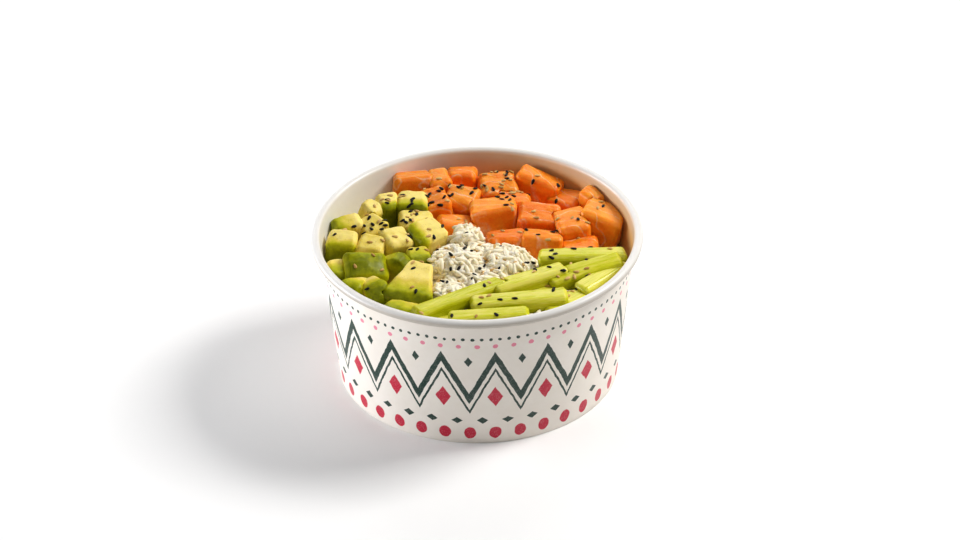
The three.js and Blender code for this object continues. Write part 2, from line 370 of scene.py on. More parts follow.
def wallRadius(z):
    return bowl["footRadius"] + (wallTopRadius - bowl["footRadius"]) * z / rollHeight


def insideRadius(z):
    return wallRadius(z) - bowl["paper"] - bowl["fit"]


# [radius, height, share of the overlap, printed] from the foot's outside up over the roll and down inside.
def wallSection():
    paper, roll, soft = bowl["paper"], bowl["rollRadius"], bowl["fold"]
    slot = paper + 2 * bowl["fit"]
    foldTop = bowl["baseTop"] - paper - bowl["fit"]
    underRoll = rollHeight - roll * math.sin(math.radians(45))
    points = [(bowl["footRadius"] - soft, 0, 0, True), (bowl["footRadius"], soft, 1, True)]
    for i in range(1, 25):
        z = soft + (underRoll - 0.6) * i / 24
        points.append((wallRadius(z), z, 1, True))
    for turn in range(-135, 181, bowl["rollStep"]):
        angle = math.radians(turn)
        r = bowl["rimRadius"] - roll + roll * math.cos(angle)
        points.append((r, rollHeight + roll * math.sin(angle), 0, False))
    for i in range(1, 19):
        z = rollHeight + (paper - rollHeight) * i / 18
        points.append((wallRadius(z) - paper, z, 0, False))
    foot = bowl["footRadius"] - 2 * paper - slot
    points += [
        (wallRadius(paper) - paper - slot, paper, 0, False),
        (wallRadius(foldTop) - paper - slot, foldTop - soft, 0, False),
        (wallRadius(foldTop) - paper - slot - soft, foldTop, 0, False),
        (wallRadius(foldTop) - 2 * paper - slot, foldTop - soft, 0, False),
        (foot, soft, 0, False),
        (foot + soft, 0, 0, False),
    ]
    return points


def makeWall(printed, plain):
    section = wallSection()
    seam, ramp, steps = bowl["seamWide"], bowl["seamRamp"], bowl["steps"]
    turns = [360 * i / steps for i in range(steps)]
    turns = [t for t in turns if abs(t) > 0.5 and abs(t - seam) > 0.5]
    turns = sorted(turns + [0, ramp, seam - ramp, seam])
    shell = bmesh.new()
    printMap = shell.loops.layers.uv.new("printMap")
    rings = []
    for turn in turns:
        angle = math.radians(bowl["seamAt"] + turn)
        lift = bowl["seamStep"] * min(max(min(turn, seam - turn) / ramp, 0), 1)
        ring = []
        for r, z, share, _ in section:
            out = (r + lift * share) * mm
            ring.append(shell.verts.new((out * math.cos(angle), out * math.sin(angle), z * mm)))
        rings.append(ring)
    for i, turn in enumerate(turns):
        following = turns[i + 1] if i + 1 < len(turns) else 360
        a, b = rings[i], rings[(i + 1) % len(turns)]
        for k, (_, z, _, printHere) in enumerate(section):
            m = (k + 1) % len(section)
            face = shell.faces.new((a[k], b[k], b[m], a[m]))
            face.smooth = True
            face.material_index = 0 if printHere and section[m][3] else 1
            marks = [(turn, z), (following, z), (following, section[m][1]), (turn, section[m][1])]
            for loop, (u, v) in zip(face.loops, marks):
                loop[printMap].uv = (u / 360, v / bowl["height"])
    bmesh.ops.recalc_face_normals(shell, faces=shell.faces)
    wall = newObject("paperWall", meshFrom(shell, "paperWall"))
    wall.data.materials.append(printed)
    wall.data.materials.append(plain)
    place(wall, "paper_bowl", "bowl_wall")


# The pressed base disc, with a skirt that stands in the wall's fold.
def makeBase(plain):
    paper, top, foot = bowl["paper"], bowl["baseTop"], bowl["paper"] + bowl["fit"]
    under, edge = top - paper, insideRadius(top)
    groove, wide, dip = bowl["baseGroove"]
    bendUnder, bendOver = bowl["baseBend"]
    section = [(0, under), (groove - 1, under), (groove, under - dip)]
    section += [(groove + wide, under - dip), (groove + wide + 1, under)]
    section += [(edge - paper - bendUnder, under), (edge - paper, under - bendUnder)]
    section += [(insideRadius(foot) - paper, foot), (insideRadius(foot), foot)]
    section += [(edge, top - bendOver), (edge - bendOver, top)]
    section += [(groove + wide + 1, top), (groove + wide, top - dip), (groove, top - dip)]
    section += [(groove - 1, top), (0, top)]
    base = turned("paperBase", section, bowl["baseSteps"])
    base.data.materials.append(plain)
    place(base, "paper_bowl", "bowl_base")


paperLook = {
    "outside": ("ece4d9", "f4eee6"),
    "inside": ("ebe8e3", "f4f2ef"),
    # Painted shade on the rolled rim.
    "rim": "f5f5f5",  # what the roll's shade multiplies the paper by
    "rimFrom": (71.4, 72.0),  # radius where the roll begins
    "greenInk": "163a30",
    "redInk": "c4123c",
    "pinkInk": "e88aa0",
    # Painted shadow on the wall under the rolled rim and on the roll's underside.
    "rollShadow": "cac2b8",
    "rollShadowHeights": (65.4, 67.6, 70.2, 71.4),  # starts, full, fades, gone
    "rollShadowFrom": (71.0, 71.4),  # radius where it is outside
    # A film of fish oil inside at the right, with painted orange bounce light and shade from the salmon in
    # it, darker lower down.
    "oilAndBounce": "cdb592",
    "deepOilAndShade": "e6bb74",
    "oilBounceAt": 38,  # degrees round the bowl
    "oilBounceSide": (16.0, 56.0),  # how far towards that side it starts and is full
    "oilBounceTop": (0.2, 2.5),  # the same downwards from the rim
    "oilShadeDeepens": (4, 9),
    "zigzags": 18,
    "border": 36,
    "wobble": 0.5,  # unevenness of a hand-cut stamp
}


def paperShader(name, shade, light):
    material, tree, shader = newMaterial(name)
    spot = objectPlace(tree)
    fibres = blotchy(tree, spot, 14.0, 0.35, 1.6)
    colour = mixColour(tree, fibres, paint(shade), paint(light))
    height = axesOf(tree, spot)[2]
    radius = vectorCalc(tree, "LENGTH", vectorCalc(tree, "MULTIPLY", spot, (1, 1, 0)))
    # Painted shadow under the roll: a darker band just beneath it.
    starts, full, fades, gone = paperLook["rollShadowHeights"]
    under = times(tree, fade(tree, height, starts, full), fade(tree, height, gone, fades))
    rollShadow = times(tree, under, fade(tree, radius, *paperLook["rollShadowFrom"]))
    colour = mixColour(tree, rollShadow, colour, paint(paperLook["rollShadow"]))
    setSockets(tree, shader, {
        "Base Color": colour,
        "Roughness": fade(tree, fibres, 0.0, 1.0, 0.46, 0.36),
        "Normal": bump(tree, cutRelief(tree, spot, 0.7, 0.2), 0.25, 0.03),
        "Coat Weight": 0.15,
        "Coat Roughness": 0.25,
    })
    return material, tree, shader, spot, colour, height, radius


# Plain paper for the inside and the rim, with painted shade on the roll, and inside at the right a film of
# fish oil that also carries painted orange bounce light and shade from the salmon.
def makePlainPaper():
    material, tree, shader, spot, colour, height, radius = paperShader("plainPaper", *paperLook["inside"])
    rolled = fade(tree, radius, *paperLook["rimFrom"])
    # Painted shade darkens the roll.
    colour = mixColour(tree, rolled, colour, paint(paperLook["rim"]), "MULTIPLY")
    top = bowl["height"]
    # The fish-oil film with painted orange bounce light and shade: near the food, towards the salmon's side.
    low = fade(tree, height, *[top - down for down in paperLook["oilBounceTop"]])
    turn = math.radians(paperLook["oilBounceAt"])
    toFish = vectorCalc(tree, "DOT_PRODUCT", spot, (math.cos(turn), math.sin(turn), 0))
    onWall = fade(tree, rolled, 0.0, 1.0, 1.0, 0.0)
    side = times(tree, fade(tree, toFish, *paperLook["oilBounceSide"]), onWall)
    patchy = fade(tree, blotchy(tree, spot, 16.0, 0.3, 1.2), 0.0, 1.0, 0.75, 1.1)
    oilAndBounceFilm = times(tree, times(tree, low, side), patchy, clamp=True)
    deeper = fade(tree, height, *[top - down for down in paperLook["oilShadeDeepens"]])
    oilAndBounce = mixColour(tree, deeper, paint(paperLook["oilAndBounce"]), paint(paperLook["deepOilAndShade"]))
    setSockets(tree, shader, {"Base Color": mixColour(tree, oilAndBounceFilm, colour, oilAndBounce)})
    return material


# Stamped zigzags, diamonds and dots in three inks.
def makePrintedPaper():
    material, tree, shader, spot, colour, _, _ = paperShader("printedPaper", *paperLook["outside"])
    uneven = addNode(tree, "ShaderNodeTexNoise", {"Vector": spot, "Scale": 0.28, "Detail": 2.0})
    slips = axesOf(tree, uneven.outputs["Color"])
    flat = axesOf(tree, addNode(tree, "ShaderNodeUVMap", uv_map="printMap").outputs[0])
    around = 2 * math.pi * wallRadius(bowl["height"] / 2)
    wobble = 2 * paperLook["wobble"]
    turn = plus(tree, flat[0], times(tree, minus(tree, slips[0], 0.5), wobble / around))
    slipUp = times(tree, minus(tree, slips[1], 0.5), wobble)
    height = plus(tree, times(tree, flat[1], bowl["height"]), slipUp)
    zigzags, border = paperLook["zigzags"], paperLook["border"]

    def row(number, middle, wide, high, shift=0.0, rounded=0.0):
        values = {"Turn": turn, "Height": height, "Number": number, "Shift": shift, "Pitch": around / number}
        values.update({"Middle": middle, "Half Wide": wide, "Half High": high, "Round": rounded})
        return useGroup(tree, printRow, values)

    def zigzag(low, rise, line):
        values = {"Turn": turn, "Height": height, "Number": zigzags}
        values.update({"Low": low, "Rise": rise, "Half Line": line})
        return useGroup(tree, printZigzag, values)

    def either(*masks):
        total = masks[0]
        for mask in masks[1:]:
            total = calc(tree, "MAXIMUM", total, mask)
        return total

    green = either(
        zigzag(26.0, 24.0, 2.9),
        zigzag(18.5, 24.0, 1.1),
        row(zigzags, 47.5, 1.7, 2.8),
        row(border, 13.4, 2.7, 1.9),
        row(border * 3, 60.0, 0.8, 0.8, rounded=1.0),
    )
    red = either(
        row(zigzags, 27.0, 3.6, 5.6, shift=0.5),
        row(border, 6.2, 2.8, 3.3, shift=0.5, rounded=1.0),
    )
    pink = row(border * 1.5, 56.0, 1.1, 1.1, shift=0.5, rounded=1.0)
    cover = fade(tree, blotchy(tree, spot, 3.0, 0.7, 3.0), 0.0, 0.5, 0.88, 1.0)
    for mask, ink in ((pink, "pinkInk"), (red, "redInk"), (green, "greenInk")):
        colour = mixColour(tree, times(tree, mask, cover), colour, paint(paperLook[ink]))
    setSockets(tree, shader, {"Base Color": colour})
    return material


rice = {
    "bed": 50,
    "sink": 1.0,  # how far the core lies under the heap's outline
    "coreSteps": (72, 160),  # rings and spokes
    "cutterSteps": (20, 60),
    "grain": (2.4, 5.8, 2.2),
    "shapes": {  # taper, bend, bluntness
        "grainA": (0.12, 0.05, 0.8),
        "grainB": (0.2, 0.14, 0.8),
        "grainC": (0.05, -0.08, 0.75),
        "grainD": (0.25, 0.2, 0.85),
    },
    "sizes": (0.88, 0.24),  # smallest size of a grain, and how much more at most
    "lengths": (0.92, 0.16),
    "sticky": [  # spacing, height over the outline, tilt, share kept
        (2.6, -0.8, 10, 1.0),
        (3.0, 0.0, 24, 0.9),
    ],
    "loose": [(2.7, 0.6, 26, 1.0)],
    "stickyFrom": 54,  # lower down only loose grains show
    "voxel": 0.41,
    "reach": 68,  # radius that the grains are dealt over
    "jitter": 0.7,  # as a share of the spacing
    "lift": 0.6,  # unevenness of height
    "clump": (0.8, 0.75, 0.7),  # rise in mm, turns per mm across and along
    "wallGap": 2.5,
    "clear": 1.0,  # between a grain's middle and a topping
}
# Lumps of the heap: [x, y, radius, top]. The last, wide one carries the cucumber.
riceLumps = [
    [-10, -9, 14, 65.5],
    [13, -8, 14, 64],
    [-5, 12, 9, 64.5],
    [-14, -31, 11, 61.5],
    [4, -24, 13, 62],
    [0, -10, 27, 61],
    [20, -42, 46, 57.5],
]


def riceHeight(x, y):
    bed = rice["bed"]
    heights = []
    for lumpX, lumpY, radius, top in riceLumps:
        away = math.hypot(x - lumpX, y - lumpY) / radius
        heights.append(bed + (top - bed) * math.exp(-(away**4)))
    return max(heights)


def riceNormal(x, y):
    step = 0.5
    slopeX = (riceHeight(x + step, y) - riceHeight(x - step, y)) / (2 * step)
    slopeY = (riceHeight(x, y + step) - riceHeight(x, y - step)) / (2 * step)
    return Vector((-slopeX, -slopeY, 1)).normalized()


# The heap as a solid whose upper face is shifted, out to a radius.
def riceSolid(name, reach, shift, steps, floor):
    rings, spokes = steps
    section = [(0, floor), (reach(floor), floor)]
    section += [(reach(rice["bed"]) * (1 - i / rings), rice["bed"]) for i in range(rings + 1)]
    heap = turned(name, section, spokes)
    for vertex in heap.data.vertices:
        x, y, z = vertex.co / mm
        if z > rice["bed"] - 1:
            vertex.co.z = (riceHeight(x, y) + shift) * mm
    return heap


# Noise about zero, as deep as given.
def waves(tree, spot, broad, depth, detail):
    height = noise(tree, spot, over(tree, 1.0, broad), detail)
    return times(tree, minus(tree, height, 0.5), depth)


# The last nodes of every Geometry Nodes tree.
def finishTree(tree, geometry, material, result):
    real = addNode(tree, "GeometryNodeRealizeInstances", {0: geometry}).outputs[0]
    smooth = addNode(tree, "GeometryNodeSetShadeSmooth", {0: real}).outputs[0]
    painted = addNode(tree, "GeometryNodeSetMaterial", {0: smooth, 2: material}).outputs[0]
    tree.links.new(painted, result["Geometry"])
    return tree


# Lumps of about a grain's size on the core.
def makeCoreRelief():
    inputs = {"Geometry": "Geometry", "Depth": 1.0, "Size": 3.0, "Above": 40.0, "Material": "Material"}
    tree, given, result = newTree("coreRelief", "GeometryNodeTree", inputs, ("Geometry", "Geometry"))
    here = addNode(tree, "GeometryNodeInputPosition").outputs[0]
    inMm = vectorCalc(tree, "SCALE", here, scale=1000.0)
    rise = waves(tree, inMm, given["Size"], given["Depth"], 1.0)
    offset = addNode(tree, "ShaderNodeCombineXYZ", {2: times(tree, rise, mm)}).outputs[0]
    sockets = {0: axesOf(tree, inMm)[2], 1: given["Above"]}
    chosen = addNode(tree, "FunctionNodeCompare", sockets, operation="GREATER_THAN").outputs[0]
    moved = addNode(tree, "GeometryNodeSetPosition", {0: given["Geometry"], 1: chosen, 3: offset}).outputs[0]
    return finishTree(tree, moved, given["Material"], result)


# Sticks of peeled cucumber, upper ones first: [middle, size, turn].
cucumberCuts = [
    [[-9, -42.5, 62], [48, 8, 8], [0, 2, 34]],
    [[18.5, -43, 61], [42, 9, 8], [4, 0, 7]],
    [[5, -57, 61.5], [36, 8, 8.5], [6, 0, 5]],
    [[22, -27, 61], [36, 9, 8.5], [0, 0, 26]],
    [[47, -8.5, 61], [40, 9, 8.5], [0, 2, 4]],
    [[47.5, -19, 60], [36, 10, 8.5], [8, -3, 22]],
    [[56, -23, 59], [30, 9, 8.5], [0, 0, 46]],
    [[43, -37, 57], [34, 9, 8], [0, 0, 36]],
    [[19, -35, 56], [42, 9, 8], [0, 0, 18]],
    [[-10, -54, 57], [34, 8, 8], [0, 0, 14]],
]

# Avocado from front to back, its skin side facing -Y before it is turned:
# [middle, size, turn, taper, dome, depth of the green, or 0 for a chunk from the heart].
avocadoCuts = [
    [[-28.5, -26, 57.4], [23, 23, 16], [10, 3, -14], 0.55, 3.5, 13],
    [[-51, -11, 57], [21, 15, 15], [-62, 8, 10], 0.2, 3, 10],
    [[-45.8, -28.5, 57], [10, 17, 14], [-24, -8, 24], 0.2, 2.5, 13],
    [[-54.5, -26, 56.5], [11, 13, 13], [-20, 0, -30], 0.2, 2, 12],
    [[-63, -12, 56.5], [9, 12, 13], [10, 0, 10], 0.1, 0, 12],
    [[-34, -45, 56], [17, 11, 12], [-10, 0, -20], 0.2, 2, 14],
    [[-37, -8.5, 57], [10, 13, 14], [-30, 0, 70], 0.2, 2, 20],
    [[-27, -2.5, 56.5], [12, 11, 13], [0, 6, 15], 0.2, 1.5, 14],
    [[-23, 13, 58.3], [15, 14, 16], [-4, 8, -58], 0.1, 1.5, 7],
    [[-37.5, 9.5, 57.5], [13, 13, 15], [6, 4, 24], 0.1, 0, 0],
    [[-48, 5.5, 57], [13, 12, 15], [8, 6, -12], 0.1, 0, 0],
    [[-61.5, 7.5, 58], [14, 12, 16], [10, 0, -8], 0.1, 0, 6],
    [[-28, 26, 57.2], [16, 13, 14.5], [4, 6, 8], 0.1, 0, 0],
    [[-47.5, 22, 57.5], [13, 13, 15], [6, -10, 30], 0.2, 0, 0],
    [[-58.5, 21.5, 58.5], [11, 13, 16], [10, 10, -70], 0.1, 1.5, 12],
    [[-29, 38.5, 58.8], [14, 13, 15.5], [8, -3, -6], 0.1, 0, 7],
    [[-41, 38, 58.5], [11, 12, 16], [4, 6, 18], 0.1, 0, 5],
    [[-49.5, 33, 58.5], [12, 10, 16], [16, 8, 50], 0.5, 0, 0],
]

# Salmon from front to back: [middle, size, turn].
salmonCuts = [
    [[13.5, 12.5, 56], [17, 10, 12], [-8, 0, 2]],
    [[30, 10.5, 56.3], [18, 11, 14], [-10, 3, -4]],
    [[47, 8, 54], [17, 11, 11], [0, -5, 8]],
    [[57, 26, 57.5], [20, 17, 17.5], [-6, 9, -20]],
    [[44, 21, 57], [14, 17, 16], [4, -8, 12]],
    [[28.5, 28.5, 57.3], [19, 15, 16], [6, 4, -6]],
    [[7.5, 33, 57.3], [20, 14, 15.5], [-5, -3, 5]],
    [[-18.5, 42, 57.3], [12, 16, 14.5], [6, -10, 16]],
    [[-7, 45, 57], [14, 14, 14.5], [10, 6, -14]],
    [[-10, 28, 54.5], [16, 11, 12], [-4, 8, 12]],
    [[17, 43.5, 56], [16, 10, 13], [8, 0, -8]],
    [[53, 40.5, 58.5], [11, 9, 16], [0, 10, -40]],
    [[29, 56, 57.8], [22, 11, 15.5], [-4, 12, -24]],
    [[43, 46, 54], [15, 12, 13], [8, -12, -38]],
    [[9.5, 55.5, 57.8], [17, 16, 15], [14, 3, 10]],
    [[-6.5, 61, 58.3], [13, 10, 16], [-6, 0, -3]],
    [[-17.5, 56, 59], [9, 14, 16.5], [0, 4, 12]],
    [[-29.5, 56, 59.5], [18, 11, 16.5], [-8, 0, 6]],
]

cutKinds = {
    "cucumber": {
        "cuts": cucumberCuts,
        "firstSeed": 300,
        "bevel": 1.4,
        "uneven": 0.08,
        "smoothing": 6,
        "surface": {"Swell": 0.5, "Swell Size": 6.0, "Ripple": 0.12, "Ripple Size": 1.2, "Plump": 0.3},
        "stretch": (0.15, 1, 1),
    },
    "avocado": {
        "cuts": avocadoCuts,
        "firstSeed": 200,
        "bevel": 1.6,
        "uneven": 0.1,
        "smoothing": 6,
        "surface": {"Swell": 1.5, "Swell Size": 7.0, "Ripple": 0.3, "Ripple Size": 2.4, "Plump": 0.3},
        "stretch": (1, 1, 1),
    },
    "salmon": {
        "cuts": salmonCuts,
        "firstSeed": 100,
        "bevel": 1.3,
        "uneven": 0.13,
        "smoothing": 11,
        "surface": {"Swell": 1.6, "Swell Size": 7.0, "Ripple": 0.5, "Ripple Size": 2.8, "Plump": 0.4},
        "stretch": (0.5, 1, 1),
    },
}
cutFinish = {
    "voxel": 0.42,
    "gap": 0.05,
    "shiftStep": 7.3,  # moves the patterns on from piece to piece
    "domeFullness": 0.74,
    "roomTop": 95,
    "roomSteps": 96,
}
cornerSides = [[1 if i & bit else -1 for bit in (1, 2, 4)] for i in range(8)]
domeSteps = [i / 4 for i in range(-3, 4)]


def allCuts():
    cuts = []
    for kind, values in cutKinds.items():
        for i, (middle, sides, turn, *rest) in enumerate(values["cuts"]):
            taper, dome, green = rest or (0, 0, 0)
            cut = {"kind": kind, "name": f"{kind}_{i + 1:02d}", "seed": values["firstSeed"] + i}
            cut.update(middle=Vector(middle), size=sides, taper=taper, dome=dome, green=green)
            cut["turn"] = Euler([math.radians(angle) for angle in turn])
            cuts.append(cut)
    return cuts


# A hand-cut block with bevelled edges and uneven corners. Grown, it keeps its sharp corners.
def cutBlock(name, cut, grow=0):
    random = randomFrom(cut["seed"])
    kind = cutKinds[cut["kind"]]
    corners = [[side + (next(random) * 2 - 1) * kind["uneven"] for side in sides] for sides in cornerSides]
    for corner in corners:
        corner[0] *= 1 - cut["taper"] * (corner[1] + 1) / 2
    half = [side / 2 + grow for side in cut["size"]]
    points = []
    for sides in cornerSides:
        for face in [0] if grow else [0, 1, 2]:
            inset = [0 if grow or axis == face else kind["bevel"] / half[axis] for axis in range(3)]
            points.append([side * (1 - share) for side, share in zip(sides, inset)])
    if cut["dome"]:
        for x in domeSteps:
            for z in domeSteps:
                share = math.cos(x * math.pi / 2) * math.cos(z * math.pi / 2)
                bulge = share ** cutFinish["domeFullness"] * cut["dome"] / half[1]
                points.append([x, -1 - bulge, z])
    turn = cut["turn"].to_matrix()
    shell = bmesh.new()
    for point in points:
        moved = Vector()
        for sides, corner in zip(cornerSides, corners):
            weight = math.prod((1 + side * share) / 2 for side, share in zip(sides, point))
            moved += Vector(corner) * weight
        scaled = Vector([a * b for a, b in zip(moved, half)])
        shell.verts.new((turn @ scaled + cut["middle"]) * mm)
    bmesh.ops.convex_hull(shell, input=shell.verts)
    bmesh.ops.delete(shell, geom=[v for v in shell.verts if not v.link_faces], context="VERTS")
    bmesh.ops.recalc_face_normals(shell, faces=shell.faces)
    return newObject(name, meshFrom(shell, name))


def boxOf(thing):
    spots = np.array([vertex.co for vertex in thing.data.vertices])
    return spots.min(0), spots.max(0)


def boxesMeet(a, b):
    return bool(np.all(a[0] < b[1]) and np.all(b[0] < a[1]))


# Leaves only the largest loose part of a mesh.
def keepLargest(mesh):
    shell = bmesh.new()
    shell.from_mesh(mesh)
    left = set(shell.verts)
    parts = []
    while left:
        front = [left.pop()]
        part = list(front)
        while front:
            for edge in front.pop().link_edges:
                for vertex in edge.verts:
                    if vertex in left:
                        left.discard(vertex)
                        front.append(vertex)
                        part.append(vertex)
        parts.append(part)
    parts.sort(key=len)
    if len(parts) > 1:
        bmesh.ops.delete(shell, geom=[v for part in parts[:-1] for v in part], context="VERTS")
        shell.to_mesh(mesh)
    shell.free()


# Soft swelling and a fine ripple on a cut piece, and its own coordinates in millimetres as "cut".
def makeCutSurface():
    inputs = {"Geometry": "Geometry", "Middle": "Vector", "Turn": "Vector", "Shift": 0.0, "Plump": 0.3}
    inputs.update({"Swell": 1.0, "Swell Size": 8.0, "Ripple": 0.2, "Ripple Size": 2.0})
    inputs.update({"Stretch": "Vector", "Material": "Material"})
    tree, given, result = newTree("cutSurface", "GeometryNodeTree", inputs, ("Geometry", "Geometry"))

    def store(geometry, name, value, dataType):
        sockets = {0: geometry, "Name": name, "Value": value}
        settings = {"data_type": dataType, "domain": "POINT"}
        return addNode(tree, "GeometryNodeStoreNamedAttribute", sockets, **settings).outputs[0]

    here = addNode(tree, "GeometryNodeInputPosition").outputs[0]
    away = vectorCalc(tree, "SUBTRACT", here, given["Middle"])
    turn = addNode(tree, "FunctionNodeEulerToRotation", {0: given["Turn"]}).outputs[0]
    back = addNode(tree, "FunctionNodeInvertRotation", {0: turn}).outputs[0]
    own = addNode(tree, "FunctionNodeRotateVector", {0: away, 1: back}).outputs[0]
    ownMm = vectorCalc(tree, "SCALE", own, scale=1000.0)
    stored = store(given["Geometry"], "cut", ownMm, "FLOAT_VECTOR")
    stored = store(stored, "shift", given["Shift"], "FLOAT")
    stretched = vectorCalc(tree, "MULTIPLY", ownMm, given["Stretch"])
    slid = vectorCalc(tree, "ADD", stretched, given["Shift"])
    swell = waves(tree, slid, given["Swell Size"], given["Swell"], 1.0)
    ripple = waves(tree, slid, given["Ripple Size"], given["Ripple"], 3.0)
    rise = times(tree, plus(tree, plus(tree, swell, ripple), given["Plump"]), mm)
    normal = addNode(tree, "GeometryNodeInputNormal").outputs[0]
    offset = vectorCalc(tree, "SCALE", normal, scale=rise)
    moved = addNode(tree, "GeometryNodeSetPosition", {0: stored, 3: offset}).outputs[0]
    return finishTree(tree, moved, given["Material"], result)


def carve(piece, operation, tool):
    addModifier(piece, "BOOLEAN", operation=operation, solver="MANIFOLD", object=tool)


# Cuts every piece free of the rice, the wall and the pieces before it, then softens it.
def makeToppings(materials):
    surface = makeCutSurface()
    floor, wide, roomTop = bowl["baseTop"], insideRadius(rollHeight), cutFinish["roomTop"]
    roomSection = [(0, floor), (insideRadius(floor), floor)]
    roomSection += [(wide, rollHeight), (wide, roomTop), (0, roomTop)]
    room = turned("room", roomSection, cutFinish["roomSteps"])
    heap = riceSolid("heapCutter", lambda z: bowl["rimRadius"] + 1, bowl["fit"], rice["cutterSteps"], -2)
    cutters = [(heap, boxOf(heap))]
    toppings = []
    for cut in allCuts():
        kind = cutKinds[cut["kind"]]
        piece = cutBlock(cut["name"].replace("_", ""), cut)
        box = boxOf(piece)
        carve(piece, "INTERSECT", room)
        for cutter, cutterBox in cutters:
            if boxesMeet(box, cutterBox):
                carve(piece, "DIFFERENCE", cutter)
        soften(piece, cutFinish["voxel"], kind["smoothing"])
        values = {
            "Middle": cut["middle"] * mm,
            "Turn": Vector(cut["turn"]),
            "Shift": cutFinish["shiftStep"] * (cut["seed"] % 50),
            "Stretch": kind["stretch"],
            "Material": materials[cut["kind"]],
        }
        addTree(piece, surface, {**values, **kind["surface"]})
        bake(piece)
        keepLargest(piece.data)
        if cut["kind"] == "avocado":
            markDepth(piece, cut)
        place(piece, cut["kind"], cut["name"])
        toppings.append(piece)
        grown = cutBlock("grown", cut, cutFinish["gap"])
        cutters.append((grown, boxOf(grown)))
    dropObject(room)
    for cutter, _ in cutters:
        dropObject(cutter)
    print(f"{len(toppings)} toppings, {sum(len(t.data.polygons) for t in toppings)} faces")
    return toppings


# A small egg-shaped bit, one unit across each way: narrower towards +Y, and bent up.
def makeBit(name, taper, bend, blunt):
    shell = bmesh.new()
    bmesh.ops.create_uvsphere(shell, u_segments=8, v_segments=6, radius=0.5)
    for vertex in shell.verts:
        x, y, z = vertex.co
        y, z = z, -y
        share = math.copysign(abs(2 * y) ** blunt, y) / 2
        width = 1 - taper * (share + 0.5)
        vertex.co = (x * width, share, z * width + bend * (4 * share * share - 0.5))
    bmesh.ops.recalc_face_normals(shell, faces=shell.faces)
    return bpy.data.objects.new(name, meshFrom(shell, name))


# Puts one bit of a collection at every point, turned and sized by the point's own values.
def makeScatter():
    inputs = {"Geometry": "Geometry", "Bits": "Collection", "Material": "Material"}
    tree, given, result = newTree("scatterBits", "GeometryNodeTree", inputs, ("Geometry", "Geometry"))

    def named(name, dataType):
        return addNode(tree, "GeometryNodeInputNamedAttribute", {"Name": name}, data_type=dataType).outputs[0]

    bits = addNode(tree, "GeometryNodeCollectionInfo", {0: given["Bits"], 1: True, 2: True}).outputs[0]
    turn = addNode(tree, "FunctionNodeEulerToRotation", {0: named("turn", "FLOAT_VECTOR")}).outputs[0]
    sockets = {0: given["Geometry"], 2: bits, 3: True, 4: named("kind", "INT"), 5: turn}
    sockets[6] = named("size", "FLOAT_VECTOR")
    spread = addNode(tree, "GeometryNodeInstanceOnPoints", sockets).outputs[0]
    return finishTree(tree, spread, given["Material"], result)


bitFields = {
    "turn": ("FLOAT_VECTOR", "vector"),
    "size": ("FLOAT_VECTOR", "vector"),
    "kind": ("INT", "value"),
    "tone": ("FLOAT", "value"),
}


# One piece of many bits. Each has a spot, turn, size and tone, and a kind that picks its shape.
def scatter(name, bits, shapes, tree, material):
    mesh = bpy.data.meshes.new(name)
    mesh.from_pydata([bit["spot"] for bit in bits], [], [])
    for key, (dataType, field) in bitFields.items():
        values = np.ravel([bit[key] for bit in bits]).tolist()
        mesh.attributes.new(key, dataType, "POINT").data.foreach_set(field, values)
    collection = bpy.data.collections.new(name + "Shapes")
    for title, shape in shapes.items():
        collection.objects.link(makeBit(title, *shape))
    thing = newObject(name, mesh)
    addTree(thing, tree, {"Bits": collection, "Material": material})
    bake(thing)
    for shape in list(collection.objects):
        dropObject(shape)
    bpy.data.collections.remove(collection)
    print(f"{name}: {len(bits)} bits, {len(thing.data.polygons)} faces")
    return thing


# Rotation that lays a bit on a surface: its thin side along the normal, turned and tilted.
def layOn(normal, heading, tilt=0.0, roll=0.0):
    lie = up.rotation_difference(normal).to_matrix()
    return (lie @ Euler((tilt, roll, heading), "XYZ").to_matrix()).to_euler()


def treeOf(things):
    spots, faces = [], []
    for thing in things:
        start = len(spots)
        spots += [vertex.co.copy() for vertex in thing.data.vertices]
        faces += [[start + i for i in face.vertices] for face in thing.data.polygons]
    return BVHTree.FromPolygons(spots, faces)


# Rise of clumps of several grains.
def clumpRise(x, y):
    rise, across, along = rice["clump"]
    return rise * math.sin(across * x + 1.1) * math.sin(along * y + 0.4 * x)


def riceBits(layers, lowest, toppingTree, random):
    bits = []
    golden = math.pi * (3 - math.sqrt(5))  # from each grain to the next, as in a sunflower
    smallest, more = rice["sizes"]
    shortest, longer = rice["lengths"]
    kinds = len(rice["shapes"])
    for spacing, lift, tilt, share in layers:
        lean = 2 * math.radians(tilt)
        for i in range(int(math.pi * (rice["reach"] / spacing) ** 2)):
            away = spacing * math.sqrt((i + 0.5) / math.pi)
            jitter = [(next(random) - 0.5) * spacing * rice["jitter"] for _ in range(2)]
            x = away * math.cos(i * golden) + jitter[0]
            y = away * math.sin(i * golden) + jitter[1]
            draws = [next(random) for _ in range(8)]
            top = riceHeight(x, y)
            inWall = math.hypot(x, y) > insideRadius(top) - rice["wallGap"]
            if inWall or top < lowest or draws[0] > share:
                continue
            normal = riceNormal(x, y)
            rise = lift + clumpRise(x, y) + (draws[1] - 0.5) * rice["lift"]
            spot = (Vector((x, y, top)) + normal * rise) * mm
            if not seenFromAbove(toppingTree, spot) or not standsClear(toppingTree, spot):
                continue
            turn = layOn(normal, draws[2] * 2 * math.pi, (draws[3] - 0.5) * lean, (draws[4] - 0.5) * lean)
            grain = [side * (smallest + more * draws[5]) * mm for side in rice["grain"]]
            grain[1] *= shortest + longer * draws[6]
            bit = {"spot": spot, "turn": turn, "size": grain, "kind": int(draws[7] * kinds) % kinds}
            bits.append({**bit, "tone": draws[6]})
    return bits


